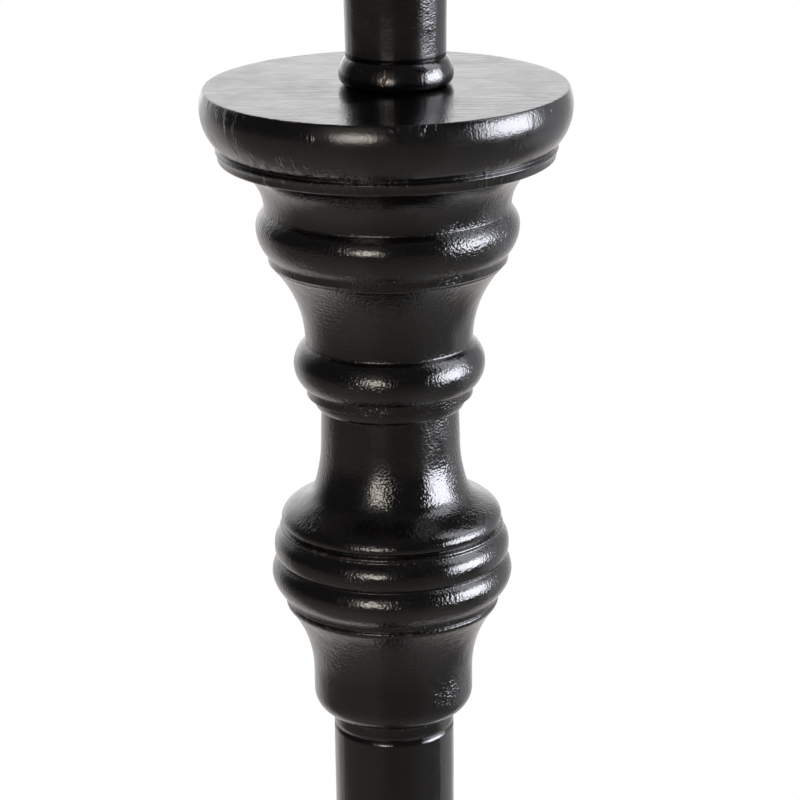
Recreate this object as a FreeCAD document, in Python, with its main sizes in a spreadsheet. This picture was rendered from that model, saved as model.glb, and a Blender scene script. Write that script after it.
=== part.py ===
# Candlestick floor lamp. Millimetres, +Z up, origin on the floor under the middle of the base.
# The front is -Y and the cord inlet is at the back, +Y.
import FreeCAD, Part
import math
import os
import re
import Sketcher

# ---------------------------------------------------------------------------------------------
# Driving dimensions
# ---------------------------------------------------------------------------------------------

SIZES = {
    # Clearances
    "run_gap": 0.05,            # radial, between a shaft and the hole it turns or slides in
    "seat_gap": 0.3,            # between curved faces that only lie close
    # Lamp pipe, its hardware and the holes for it
    "pipe_rad": 5.0,
    "pipe_bore_rad": 3.2,
    "wood_bore_rad": 6.0,
    "pipe_below_nut": 4.0,
    "pipe_gap": 2.0,            # between the two pipes, inside the coupler
    "coupler_rad": 8.0,
    "coupler_len": 32.0,
    "coupler_room": 0.6,        # radial, round the coupler
    "nut_flats": 17.0,
    "nut_thick": 7.0,
    "lock_nut_thick": 4.0,
    "washer_rad": 16.0,
    "washer_thick": 2.0,
    # Spigots that centre one turned piece in the next
    "spigot_rad": 12.0,
    "spigot_len": 8.0,
    "spigot_end_gap": 0.4,
    # Pole and the collar that every turned piece ends in where it meets the pole
    "pole_rad": 21.5,
    "lower_pole_len": 290.0,
    "upper_pole_len": 240.0,
    "collar_height": 4.7,
    "collar_slope": 2.0,
    "collar_out": 3.7,
    "drum_round": 6.3,
    "drum_rad": 28.4,
    # Capital: flare and double bead over the drum
    "drum_height": 7.7,
    "flare_height": 25.2,
    "flare_out": 8.7,
    "astragal_lower": 1.6,
    "astragal_upper": 0.9,
    "astragal_out": 0.7,
    "astragal_in": 0.6,
    "bead_step_up": 0.6,
    "bead_step_out": 0.8,
    "lower_bead_rise": 11.4,
    "lower_bead_out": 4.5,
    "lower_bead_top": 3.8,
    "lower_bead_in": 1.5,
    "upper_bead_rise": 7.5,
    "upper_bead_out": 0.4,
    "upper_bead_top": 4.1,
    "upper_bead_in": 1.0,
    "quirk_rise": 2.2,
    "quirk_in": 3.6,
    # Capital: shoulder and neck
    "shoulder_round": 1.5,
    "shoulder_out": 1.5,
    "shoulder_height": 23.0,
    "shoulder_turn": 0.24,      # share of the shoulder below its change of curve
    "neck_rad": 24.45,
    "neck_height": 10.0,
    "neck_taper_height": 6.0,
    "neck_taper": 0.45,
    # Moulding over a neck: quarter round, fillet and ring
    "quarter_height": 5.3,
    "quarter_out": 2.95,
    "fillet_slope": 0.2,
    "fillet_out": 2.05,
    "fillet_height": 3.5,
    "ring_step_up": 0.6,
    "ring_step_out": 1.5,
    "ring_lower": 7.2,
    "ring_out": 2.8,
    "ring_upper": 7.0,
    "ring_in": 2.9,
    "ring_foot_up": 0.7,
    "ring_foot_in": 1.3,
    # Capital: lower cove, crown bead and upper cove
    "lower_cove_height": 27.7,
    "crown_rad": 45.3,
    "crown_under_in": 3.9,
    "crown_fillet_height": 2.8,
    "crown_fillet_in": 0.2,
    "crown_quirk_up": 1.3,
    "crown_quirk_in": 1.1,
    "cove_lip_up": 0.2,
    "cove_lip_in": 0.4,
    "crown_lower": 9.6,
    "crown_upper": 5.8,
    "crown_in": 2.7,
    "upper_cove_in": 0.3,
    "upper_cove_height": 17.5,
    # Drip pan
    "pan_rad": 63.4,
    "pan_top_in": 1.4,
    "pan_upper": 6.2,
    "pan_lower": 13.5,
    "pan_under_in": 6.15,
    "pan_quirk_up": 1.0,
    "pan_fillet_out": 1.25,
    "pan_fillet_up": 2.75,
    "pan_fillet_in": 0.9,
    "pan_foot_up": 0.95,
    "pan_foot_in": 1.3,
    # Candle ring and tube, which stand off the lamp's axis
    "candle_right": 3.4,
    "candle_back": 3.5,
    "candle_bore_rad": 11.5,
    "candle_ring_rad": 19.6,
    "candle_ring_foot_in": 3.0,
    "candle_ring_lower": 3.3,
    "candle_ring_upper": 5.6,
    "candle_ring_in": 1.8,
    "candle_seam_up": 0.8,
    "candle_seam_in": 0.9,
    "candle_foot_rad": 17.1,
    "candle_flare": 1.6,
    "candle_len": 93.0,
    "candle_lip_out": 1.6,
    "candle_lip_half": 3.4,
    # Mid knop
    "knop_rad": 38.0,
    "knop_half": 20.0,
    "knop_in": 7.0,
    "knop_fillet_up": 0.6,
    "knop_fillet_in": 2.0,
    "knop_fillet_height": 2.5,
    # Lower baluster
    "baluster_foot_rad": 50.0,
    "baluster_foot_half": 7.0,
    "baluster_foot_in": 4.5,
    "baluster_step_up": 1.2,
    "baluster_step_in": 3.5,
    "baluster_fillet_height": 3.0,
    "baluster_cove_height": 22.0,
    "baluster_waist_rad": 27.0,
    "vase_rise": 52.0,
    "vase_rad": 41.0,
    "vase_taper": 96.0,
    "baluster_cap_round": 6.0,
    # Plinth
    "plinth_rad": 98.0,
    "plinth_half": 6.5,
    "plinth_in": 4.0,
    "plinth_step_up": 1.0,
    "plinth_step_in": 4.0,
    "plinth_fillet_height": 3.0,
    "plinth_cove_in": 27.0,
    "plinth_cove_height": 28.0,
    "plinth_top_step": 2.5,
    "plinth_top_height": 3.0,
    # Base foot
    "foot_rad": 150.0,
    "foot_arris": 3.0,
    "foot_arris_in": 2.0,
    "foot_band_height": 15.0,
    "foot_step_up": 1.0,
    "foot_step_in": 5.0,
    "foot_fillet_height": 2.5,
    "foot_cove_in": 24.0,
    "foot_cove_height": 24.0,
    "foot_bead_half": 4.5,
    "foot_bead_out": 3.5,
    # Recess under the foot, weight, screws and felt
    "felt_thick": 3.0,
    "felt_edge": 4.0,
    "recess_depth": 28.0,
    "recess_room": 1.5,         # radial, round the weight
    "weight_rad": 106.0,
    "weight_thick": 18.0,
    "weight_hole_rad": 30.0,
    "screw_count": 3,
    "screw_circle_rad": 70.0,
    "screw_shank_rad": 2.5,
    "screw_bite": 12.0,
    "screw_head_rad": 5.0,
    "screw_head_height": 3.0,
    # Cord inlet
    "inlet_height": 10.0,
    "inlet_bore_rad": 3.6,
    "inlet_tube_rad": 5.0,
    "inlet_flange_rad": 7.0,
    "inlet_flange_thick": 2.0,
    "inlet_grip": 16.0,
    # Top of the candle tube
    "cap_rad": 24.6,
    "cap_edge": 2.4,
    "cap_dome": 3.6,
    "cap_top_rad": 12.0,
    # Harp and its saddle
    "saddle_half": 28.5,
    "saddle_width": 12.0,
    "saddle_thick": 1.6,
    "saddle_rise": 24.0,
    "pin_len": 6.0,
    "wire_rad": 2.2,
    "harp_gap": 0.3,
    "harp_foot": 22.0,
    "harp_flare": 44.0,
    "harp_half": 54.0,
    "harp_side": 72.0,
    "harp_shoulder": 42.0,
    "harp_boss_rad": 8.0,
    "harp_boss_thick": 5.0,
    "sleeve_wall": 1.2,
    "sleeve_len": 16.0,
    # Harp stud and finial
    "stud_pin_rad": 2.6,
    "stud_head_rad": 4.5,
    "stud_head_thick": 1.5,
    "stud_flange_rad": 7.0,
    "stud_flange_thick": 2.5,
    "stud_post_rad": 3.1,
    "stud_post_len": 14.0,
    "stud_float": 0.1,
    "finial_foot_rad": 6.5,
    "finial_foot_height": 4.0,
    "finial_neck_rad": 4.6,
    "finial_cove_height": 7.0,
    "finial_knob_rad": 9.0,
    "finial_knob_rise": 9.0,
    "finial_bore_end": 2.0,
    # Lamp socket
    "shell_wall": 0.8,
    "shell_nest": 0.15,         # radial, between nested sleeves
    "bulb_rad": 13.05,
    "liner_wall": 0.7,
    "liner_room": 0.5,
    "screw_wall": 0.6,
    "collar_rad": 8.0,
    "collar_len": 6.0,
    "dome_height": 9.0,
    "cap_skirt": 8.0,
    "shell_len": 50.0,
    "core_len": 24.0,
    "core_foot": 2.0,
    "screw_len": 20.0,
    "contact_rad": 4.0,
    "contact_thick": 0.8,
    # Turn switch
    "stem_rad": 1.8,
    "stem_height": 13.0,        # above the foot of the core
    "stem_depth": 9.0,
    "switch_hole_rad": 4.0,
    "stem_out": 14.0,
    "knob_rad": 7.0,
    "knob_len": 11.0,
    "knob_bite": 7.0,
    "knob_round": 1.5,
    "knob_wing_half": 2.4,
    # Bulb
    "tip_rad": 5.0,
    "tip_height": 1.6,
    "base_cone": 4.0,
    "base_len": 22.0,
    "base_wall": 0.6,
    "base_cup": 9.0,
    "glass_wall": 0.8,
    "glass_throat": 14.0,
    "glass_shoulder": 34.0,
    "glass_rad": 30.0,
    # Shade
    "shade_top_rad": 150.0,
    "shade_foot_rad": 200.0,
    "shade_height": 250.0,
    "shade_wall": 1.2,
    "shade_ring_in": 3.0,       # ring below the shade's edge
    "ring_wire_rad": 1.5,
    "spoke_drop": 12.0,
    "spoke_count": 3,
    "hub_rad": 14.0,
    "hub_thick": 2.0,
}

doc = FreeCAD.newDocument("FloorLamp")
sheet = doc.addObject("Spreadsheet::Sheet", "Sizes")
for row, (alias, size) in enumerate(SIZES.items(), start=1):
    sheet.set("A%d" % row, alias)
    sheet.set("B%d" % row, str(size))
    sheet.setAlias("B%d" % row, alias)
doc.recompute()

# ---------------------------------------------------------------------------------------------
# Helpers
# ---------------------------------------------------------------------------------------------

LINE = "line"
FROM_UPRIGHT = "from upright"   # arc that leaves its first point upright
TO_UPRIGHT = "to upright"       # arc that reaches its last point upright
PARTS = []                      # the finished objects, one for each node


def bound(text):
    """The same formula, with each size read from the sheet."""
    def in_sheet(word):
        return "Sizes." + word.group() if word.group() in SIZES else word.group()
    return re.sub(r"[a-z][a-z_]*", in_sheet, text)


def number(text):
    """The formula's value now."""
    return float(sheet.evalExpression(bound(text)))


def total(*texts):
    """The sum of several formulas, as one formula."""
    return " + ".join("(%s)" % text for text in texts)


def origin_feature(body, role):
    """One of the body's own origin planes or axes."""
    return next(feature for feature in body.Origin.OriginFeatures if feature.Role == role)


def new_body(name, at=("0", "0", "0"), facing=None):
    """An empty body for one node, at a place given by formulas."""
    body = doc.addObject("PartDesign::Body", name)
    body.Label = name
    if facing:
        body.Placement.Rotation = facing
    for axis, text in zip("xyz", at):
        body.setExpression("Placement.Base." + axis, bound(text))
    PARTS.append(body)
    return body


def new_sketch(body, role, name, lift="0"):
    """A sketch on an origin plane, or on a plane parallel to it."""
    sketch = body.newObject("Sketcher::SketchObject", body.Name + "_" + name)
    sketch.AttachmentSupport = [(origin_feature(body, role), "")]
    sketch.MapMode = "FlatFace"
    sketch.setExpression("AttachmentOffset.Base.z", bound(lift))
    return sketch


def hold(sketch, geometry, position, across, up):
    """Fixes a point of the sketch at formulas measured from the sketch's origin."""
    for direction, text, axis in (("DistanceX", across, -2), ("DistanceY", up, -1)):
        if text == "0":
            sketch.addConstraint(Sketcher.Constraint("PointOnObject", geometry, position, axis))
        else:
            constraint = Sketcher.Constraint(direction, -1, 1, geometry, position, number(text))
            index = sketch.addConstraint(constraint)
            sketch.setExpression("Constraints[%d]" % index, bound(text))


def draw(sketch, points, shapes, closed=True):
    """Draws lines and arcs through points given as formulas, and constrains them fully."""
    places = [FreeCAD.Vector(number(across), number(up), 0) for across, up in points]
    ends = []
    edges = []
    for index, shape in enumerate(shapes):
        first, last = places[index], places[(index + 1) % len(places)]
        if shape == LINE:
            edges.append(Part.LineSegment(first, last))
            ends.append((1, 2))
            continue
        upright, other = (first, last) if shape == FROM_UPRIGHT else (last, first)
        step = other - upright
        radius = (step.x ** 2 + step.y ** 2) / (2 * step.x)
        centre = upright + FreeCAD.Vector(radius, 0, 0)
        whole = Part.Circle(centre, FreeCAD.Vector(0, 0, 1), abs(radius))
        angles = [math.atan2(place.y - centre.y, place.x - centre.x) for place in (first, last)]
        leftward = (angles[1] - angles[0]) % (2 * math.pi) < math.pi
        if leftward:
            edges.append(Part.ArcOfCircle(whole, angles[0], angles[1]))
            ends.append((1, 2))
        else:
            edges.append(Part.ArcOfCircle(whole, angles[1], angles[0]))
            ends.append((2, 1))
    sketch.addGeometry(edges, False)
    joints = []
    for index in range(len(edges) if closed else len(edges) - 1):
        after = (index + 1) % len(edges)
        joints.append(Sketcher.Constraint("Coincident", index, ends[index][1], after, ends[after][0]))
    for index, shape in enumerate(shapes):
        if shape != LINE:
            upright = ends[index][0] if shape == FROM_UPRIGHT else ends[index][1]
            joints.append(Sketcher.Constraint("Horizontal", index, 3, index, upright))
    sketch.addConstraint(joints)
    for index, (across, up) in enumerate(points):
        if index < len(edges):
            hold(sketch, index, ends[index][0], across, up)
        else:
            hold(sketch, index - 1, ends[index - 1][1], across, up)


def circle(sketch, radius, across="0", up="0"):
    """A circle held at formulas."""
    place = FreeCAD.Vector(number(across), number(up), 0)
    edge = Part.Circle(place, FreeCAD.Vector(0, 0, 1), number(radius))
    index = sketch.addGeometry(edge, False)
    hold(sketch, index, 3, across, up)
    size = sketch.addConstraint(Sketcher.Constraint("Radius", index, number(radius)))
    sketch.setExpression("Constraints[%d]" % size, bound(radius))


def height(outer):
    """The height of a turned outline, as a formula."""
    return total(*[rise for shape, rise, radius in outer[1:]])


def revolve(body, sketch):
    """Turns a sketch about its upright axis."""
    turning = body.newObject("PartDesign::Revolution", body.Name + "_turning")
    turning.Profile = sketch
    turning.ReferenceAxis = (sketch, ["V_Axis"])
    turning.Angle = 360
    return turning


def turned(name, at, outer, inner, facing=None):
    """A turned piece.

    outer runs up from the foot: a shape, how far it rises and the radius it comes to. inner runs
    back down to the foot as radius and height, in straight lines.
    """
    body = new_body(name, at, facing)
    sketch = new_sketch(body, "XZ_Plane", "outline")
    points = [(outer[0][2], "0")]
    shapes = []
    level = "0"
    for shape, rise, radius in outer[1:]:
        level = rise if level == "0" else "%s + %s" % (level, rise)
        points.append((radius, level))
        shapes.append(shape)
    points += inner
    shapes += [LINE] * (len(inner) + 1)
    draw(sketch, points, shapes)
    revolve(body, sketch)
    return body


def sleeve(name, at, outer_rad, inner_rad, length, facing=None):
    """A plain round tube."""
    outer = [(None, "0", outer_rad), (LINE, length, outer_rad)]
    return turned(name, at, outer, [(inner_rad, length), (inner_rad, "0")], facing)


def pocket(body, sketch, depth=None, reverse=False):
    """Cuts a sketch out of the body, through everything if no depth is given."""
    before = body.Shape.Volume
    cut = body.newObject("PartDesign::Pocket", sketch.Name + "_cut")
    cut.Profile = sketch
    cut.Reversed = reverse
    if depth:
        cut.setExpression("Length", bound(depth))
    else:
        cut.Type = "ThroughAll"
        cut.Midplane = True
    doc.recompute()
    if body.Shape.Volume >= before:
        raise RuntimeError(sketch.Name + " cuts nothing")
    return cut


def pad(body, sketch, length, both_ways=False, reverse=False):
    """Raises a sketch into a solid."""
    raised = body.newObject("PartDesign::Pad", sketch.Name + "_pad")
    raised.Profile = sketch
    raised.Reversed = reverse
    raised.Midplane = both_ways
    raised.setExpression("Length", bound(length))
    return raised


def ring_of(body, feature, count):
    """Repeats a feature about the body's upright axis."""
    pattern = body.newObject("PartDesign::PolarPattern", feature.Name + "_ring")
    pattern.Originals = [feature]
    pattern.Axis = (origin_feature(body, "Z_Axis"), [""])
    pattern.Angle = 360
    pattern.setExpression("Occurrences", bound(count))
    body.Tip = pattern
    return pattern


# ---------------------------------------------------------------------------------------------
# Mouldings that several turned pieces share
# ---------------------------------------------------------------------------------------------

COLLAR_RAD = "pole_rad + collar_out"
SOCKET_RAD = "spigot_rad + run_gap"
SOCKET_DEPTH = "spigot_len + spigot_end_gap"


def up_from_pole(radius):
    """Collar of the pole's own size, then a round up to a larger radius."""
    return [(None, "0", "pole_rad"),
            (LINE, "collar_height", "pole_rad"),
            (LINE, "collar_slope", COLLAR_RAD),
            (TO_UPRIGHT, "drum_round", radius)]


def down_to_pole():
    """The same mouldings the other way up."""
    return [(FROM_UPRIGHT, "drum_round", COLLAR_RAD),
            (LINE, "collar_slope", "pole_rad"),
            (LINE, "collar_height", "pole_rad")]


def turn_of(rise, first, last, share="0.5"):
    """A double curve, upright at both ends, that changes its curve at a share of its rise."""
    return [(FROM_UPRIGHT, "(%s) * %s" % (rise, share), "%s + (%s - (%s)) * %s" % (first, last, first, share)),
            (TO_UPRIGHT, "(%s) * (1 - %s)" % (rise, share), last)]


def neck_mouldings(neck):
    """Quarter round, fillet and ring above a neck of the given radius."""
    fillet = "%s + quarter_out + fillet_out" % neck
    edge = "%s + ring_step_out" % fillet
    crest = "%s + ring_out" % edge
    return [(TO_UPRIGHT, "quarter_height", "%s + quarter_out" % neck),
            (LINE, "fillet_slope", fillet),
            (LINE, "fillet_height", fillet),
            (LINE, "ring_step_up", edge),
            (TO_UPRIGHT, "ring_lower", crest),
            (FROM_UPRIGHT, "ring_upper", "%s - ring_in" % crest),
            (LINE, "ring_foot_up", "%s - ring_in - ring_foot_in" % crest)]


def bead(half, crest, drop):
    """A round bead between two edges of the same radius."""
    return [(TO_UPRIGHT, half, crest), (FROM_UPRIGHT, half, "%s - %s" % (crest, drop))]


def bored(outer, socket=True, spigot=True, bore="wood_bore_rad"):
    """The inside of a stem piece: spigot on its head, bore, and socket in its foot."""
    top = height(outer)
    inner = []
    if spigot:
        inner += [("spigot_rad", top), ("spigot_rad", total(top, "spigot_len")), (bore, total(top, "spigot_len"))]
    else:
        inner += [(bore, top)]
    if socket:
        return inner + [(bore, SOCKET_DEPTH), (SOCKET_RAD, SOCKET_DEPTH), (SOCKET_RAD, "0")]
    return inner + [(bore, "0")]


# ---------------------------------------------------------------------------------------------
# Outlines of the stem, and the heights that stack up from them
# ---------------------------------------------------------------------------------------------

FOOT_EDGE = "foot_rad - foot_step_in - foot_arris_in"
FOOT_COVE = FOOT_EDGE + " - foot_cove_in"
FOOT = ([(None, "0", "foot_rad - foot_arris_in"),
         (TO_UPRIGHT, "foot_arris", "foot_rad"),
         (LINE, "foot_band_height", "foot_rad"),
         (FROM_UPRIGHT, "foot_arris", "foot_rad - foot_arris_in"),
         (LINE, "foot_step_up", FOOT_EDGE),
         (LINE, "foot_fillet_height", FOOT_EDGE),
         (TO_UPRIGHT, "foot_cove_height", FOOT_COVE)]
        + bead("foot_bead_half", FOOT_COVE + " + foot_bead_out", "foot_bead_out"))

PLINTH_EDGE = "plinth_rad - plinth_in - plinth_step_in"
PLINTH_COVE = PLINTH_EDGE + " - plinth_cove_in"
PLINTH = ([(None, "0", "plinth_rad - plinth_in")]
          + bead("plinth_half", "plinth_rad", "plinth_in")
          + [(LINE, "plinth_step_up", PLINTH_EDGE),
             (LINE, "plinth_fillet_height", PLINTH_EDGE),
             (TO_UPRIGHT, "plinth_cove_height", PLINTH_COVE),
             (LINE, "plinth_step_up", PLINTH_COVE + " + plinth_top_step"),
             (LINE, "plinth_top_height", PLINTH_COVE + " + plinth_top_step")])

BALUSTER_EDGE = "baluster_foot_rad - baluster_foot_in - baluster_step_in"
BALUSTER = ([(None, "0", "baluster_foot_rad - baluster_foot_in")]
            + bead("baluster_foot_half", "baluster_foot_rad", "baluster_foot_in")
            + [(LINE, "baluster_step_up", BALUSTER_EDGE),
               (LINE, "baluster_fillet_height", BALUSTER_EDGE),
               (TO_UPRIGHT, "baluster_cove_height", "baluster_waist_rad")]
            + turn_of("vase_rise", "baluster_waist_rad", "vase_rad")
            + turn_of("vase_taper", "vase_rad", "neck_rad")
            + neck_mouldings("neck_rad")
            + [(TO_UPRIGHT, "baluster_cap_round", "drum_rad")]
            + down_to_pole())

KNOP_EDGE = "knop_rad - knop_in"
KNOP = (up_from_pole("drum_rad")
        + [(LINE, "knop_fillet_up", KNOP_EDGE + " - knop_fillet_in"),
           (LINE, "knop_fillet_height", KNOP_EDGE + " - knop_fillet_in"),
           (LINE, "knop_fillet_up", KNOP_EDGE)]
        + bead("knop_half", "knop_rad", "knop_in")
        + [(LINE, "knop_fillet_up", KNOP_EDGE + " - knop_fillet_in"),
           (LINE, "knop_fillet_height", KNOP_EDGE + " - knop_fillet_in"),
           (LINE, "knop_fillet_up", "drum_rad")]
        + down_to_pole())

FLARE = "drum_rad + flare_out"
ASTRAGAL = FLARE + " + astragal_out"
LOWER_EDGE = ASTRAGAL + " - astragal_in + bead_step_out"
LOWER_CREST = LOWER_EDGE + " + lower_bead_out"
UPPER_CREST = LOWER_CREST + " - lower_bead_in + upper_bead_out"
QUIRK = UPPER_CREST + " - upper_bead_in - quirk_in"
SHOULDER = QUIRK + " + shoulder_out"
NECK_TOP = "neck_rad - neck_taper"
CROWN_UNDER = "crown_rad - crown_under_in"
CROWN_QUIRK = CROWN_UNDER + " - crown_fillet_in - crown_quirk_in"
PAN_UNDER = "pan_rad - pan_under_in"
PAN_FILLET = PAN_UNDER + " + pan_fillet_out"
PAN_FOOT = PAN_FILLET + " - pan_fillet_in"
PAN_SEAT = PAN_FOOT + " - pan_foot_in"
CAPITAL = (up_from_pole("drum_rad")
           + [(LINE, "drum_height", "drum_rad"),
              (FROM_UPRIGHT, "flare_height", FLARE),
              (TO_UPRIGHT, "astragal_lower", ASTRAGAL),
              (FROM_UPRIGHT, "astragal_upper", ASTRAGAL + " - astragal_in"),
              (LINE, "bead_step_up", LOWER_EDGE),
              (TO_UPRIGHT, "lower_bead_rise", LOWER_CREST),
              (FROM_UPRIGHT, "lower_bead_top", LOWER_CREST + " - lower_bead_in"),
              (TO_UPRIGHT, "upper_bead_rise", UPPER_CREST),
              (FROM_UPRIGHT, "upper_bead_top", UPPER_CREST + " - upper_bead_in"),
              (LINE, "quirk_rise", QUIRK),
              (TO_UPRIGHT, "shoulder_round", SHOULDER)]
           + turn_of("shoulder_height", SHOULDER, "neck_rad", "shoulder_turn")
           + [(LINE, "neck_height", "neck_rad"),
              (FROM_UPRIGHT, "neck_taper_height", NECK_TOP)]
           + neck_mouldings(NECK_TOP)
           + [(FROM_UPRIGHT, "lower_cove_height", CROWN_QUIRK + " - cove_lip_in"),
              (LINE, "cove_lip_up", CROWN_QUIRK),
              (FROM_UPRIGHT, "crown_quirk_up", CROWN_UNDER + " - crown_fillet_in"),
              (LINE, "crown_fillet_height", CROWN_UNDER),
              (TO_UPRIGHT, "crown_lower", "crown_rad"),
              (FROM_UPRIGHT, "crown_upper", "crown_rad - crown_in"),
              (LINE, "cove_lip_up", "crown_rad - crown_in - upper_cove_in"),
              (FROM_UPRIGHT, "upper_cove_height", PAN_SEAT)])

PAN = [(None, "0", PAN_SEAT),
       (TO_UPRIGHT, "pan_foot_up", PAN_FOOT),
       (FROM_UPRIGHT, "pan_fillet_up", PAN_FILLET),
       (LINE, "pan_quirk_up", PAN_UNDER),
       (TO_UPRIGHT, "pan_lower", "pan_rad"),
       (FROM_UPRIGHT, "pan_upper", "pan_rad - pan_top_in")]

RING_EDGE = "candle_ring_rad - candle_ring_in"
CANDLE_RING = [(None, "0", "candle_ring_rad - candle_ring_foot_in"),
               (TO_UPRIGHT, "candle_ring_lower", "candle_ring_rad"),
               (FROM_UPRIGHT, "candle_ring_upper", RING_EDGE),
               (LINE, "candle_seam_up", RING_EDGE + " - candle_seam_in")]

TUBE_TOP = "candle_foot_rad + candle_flare"
CANDLE_TUBE = ([(None, "0", "candle_foot_rad"),
                (LINE, "candle_len", TUBE_TOP)]
               + bead("candle_lip_half", TUBE_TOP + " + candle_lip_out", "candle_lip_out"))

FOOT_Z = "felt_thick"
PLINTH_Z = total(FOOT_Z, height(FOOT))
BALUSTER_Z = total(PLINTH_Z, height(PLINTH))
LOWER_POLE_Z = total(BALUSTER_Z, height(BALUSTER))
KNOP_Z = total(LOWER_POLE_Z, "lower_pole_len")
UPPER_POLE_Z = total(KNOP_Z, height(KNOP))
CAPITAL_Z = total(UPPER_POLE_Z, "upper_pole_len")
PAN_Z = total(CAPITAL_Z, height(CAPITAL))
CANDLE_RING_Z = total(PAN_Z, height(PAN))
CANDLE_TUBE_Z = total(CANDLE_RING_Z, height(CANDLE_RING))
CAP_Z = total(CANDLE_TUBE_Z, height(CANDLE_TUBE))
SADDLE_Z = total(CAP_Z, "cap_edge", "cap_dome")
LOCK_NUT_Z = total(SADDLE_Z, "saddle_thick")
SOCKET_Z = total(LOCK_NUT_Z, "lock_nut_thick")


def on_axis(level):
    """A place on the lamp's axis."""
    return ("0", "0", level)


# ---------------------------------------------------------------------------------------------
# Base
# ---------------------------------------------------------------------------------------------

def screw_holes(body, name, start, depth):
    """Three holes for the weight's screws, cut upward from a level of the body."""
    sketch = new_sketch(body, "XY_Plane", name, start)
    circle(sketch, "screw_shank_rad + run_gap", "screw_circle_rad")
    doc.recompute()
    hole = pocket(body, sketch, depth, reverse=True)
    ring_of(body, hole, "screw_count")
    doc.recompute()


def base_foot():
    """Turned foot with a recess for the weight and a hole for the cord inlet at the back."""
    recess = "weight_rad + recess_room"
    top = height(FOOT)
    inner = [("spigot_rad", top), ("spigot_rad", total(top, "spigot_len")),
             ("wood_bore_rad", total(top, "spigot_len")), ("wood_bore_rad", "recess_depth"),
             (recess, "recess_depth"), (recess, "0")]
    body = turned("base_foot", on_axis(FOOT_Z), FOOT, inner)
    doc.recompute()
    inlet = new_sketch(body, "XZ_Plane", "inlet")
    circle(inlet, "inlet_tube_rad + run_gap", "0", "inlet_height")
    doc.recompute()
    pocket(body, inlet, "foot_rad")
    screw_holes(body, "screw_holes", "recess_depth", "screw_bite")


def felt_pad():
    """Felt disc that covers the underside."""
    body = new_body("felt_pad")
    sketch = new_sketch(body, "XY_Plane", "outline")
    circle(sketch, "foot_rad - felt_edge")
    pad(body, sketch, "felt_thick")


def base_weight():
    """Cast ring under the roof of the recess."""
    level = total(FOOT_Z, "recess_depth - weight_thick")
    body = sleeve("base_weight", on_axis(level), "weight_rad", "weight_hole_rad", "weight_thick")
    doc.recompute()
    screw_holes(body, "screw_holes", "0", "weight_thick")


def weight_screws():
    """Three round-headed screws, each a solid of its own."""
    body = new_body("weight_screws", on_axis(total(FOOT_Z, "recess_depth - weight_thick")))
    body.AllowCompound = True
    head = new_sketch(body, "XY_Plane", "head")
    circle(head, "screw_head_rad", "screw_circle_rad")
    heads = pad(body, head, "screw_head_height", reverse=True)
    shank = new_sketch(body, "XY_Plane", "shank")
    circle(shank, "screw_shank_rad", "screw_circle_rad")
    shanks = pad(body, shank, "weight_thick + screw_bite - seat_gap")
    doc.recompute()
    pattern = ring_of(body, heads, "screw_count")
    pattern.Originals = [heads, shanks]
    doc.recompute()


def hex_nut(name, level, thick):
    """A hexagon nut on the lamp pipe."""
    block = doc.addObject("Part::Prism", name + "_block")
    block.Polygon = 6
    block.setExpression("Circumradius", bound("nut_flats / sqrt(3)"))
    block.setExpression("Height", bound(thick))
    hole = doc.addObject("Part::Cylinder", name + "_hole")
    hole.setExpression("Radius", bound("pipe_rad + run_gap"))
    hole.setExpression("Height", bound(thick))
    nut = doc.addObject("Part::Cut", name)
    nut.Label = name
    nut.Base = block
    nut.Tool = hole
    nut.setExpression("Placement.Base.z", bound(level))
    PARTS.append(nut)


def cord_bushing():
    """Flanged bushing in the foot's rim, with its flange outside."""
    outer = [(None, "0", "inlet_tube_rad"),
             (LINE, "inlet_grip", "inlet_tube_rad"),
             (LINE, "seat_gap", "inlet_flange_rad"),
             (LINE, "inlet_flange_thick", "inlet_flange_rad - seat_gap")]
    backward = FreeCAD.Rotation(FreeCAD.Vector(1, 0, 0), -90)
    at = ("0", "foot_rad - inlet_grip", total(FOOT_Z, "inlet_height"))
    turned("cord_bushing", at, outer, [("inlet_bore_rad", height(outer)), ("inlet_bore_rad", "0")], backward)


# ---------------------------------------------------------------------------------------------
# Stem, lamp pipe and candle
# ---------------------------------------------------------------------------------------------

def pole(name, level, length):
    """A plain length of the stem."""
    outer = [(None, "0", "pole_rad"), (LINE, length, "pole_rad")]
    turned(name, on_axis(level), outer, bored(outer))


def stem():
    """Every turned piece from the plinth to the drip pan."""
    turned("base_plinth", on_axis(PLINTH_Z), PLINTH, bored(PLINTH))
    turned("lower_baluster", on_axis(BALUSTER_Z), BALUSTER, bored(BALUSTER))
    pole("lower_pole", LOWER_POLE_Z, "lower_pole_len")
    turned("mid_knop", on_axis(KNOP_Z), KNOP, bored(KNOP, bore="coupler_rad + coupler_room"))
    pole("upper_pole", UPPER_POLE_Z, "upper_pole_len")
    turned("capital_spindle", on_axis(CAPITAL_Z), CAPITAL, bored(CAPITAL))
    turned("drip_pan", on_axis(PAN_Z), PAN, bored(PAN, spigot=False))


def candle():
    """The ring and the tube, seated off the lamp's axis."""
    for name, level, outer in (("candle_ring", CANDLE_RING_Z, CANDLE_RING),
                               ("candle_tube", CANDLE_TUBE_Z, CANDLE_TUBE)):
        inner = [("candle_bore_rad", height(outer)), ("candle_bore_rad", "0")]
        turned(name, ("candle_right", "candle_back", level), outer, inner)


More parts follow.
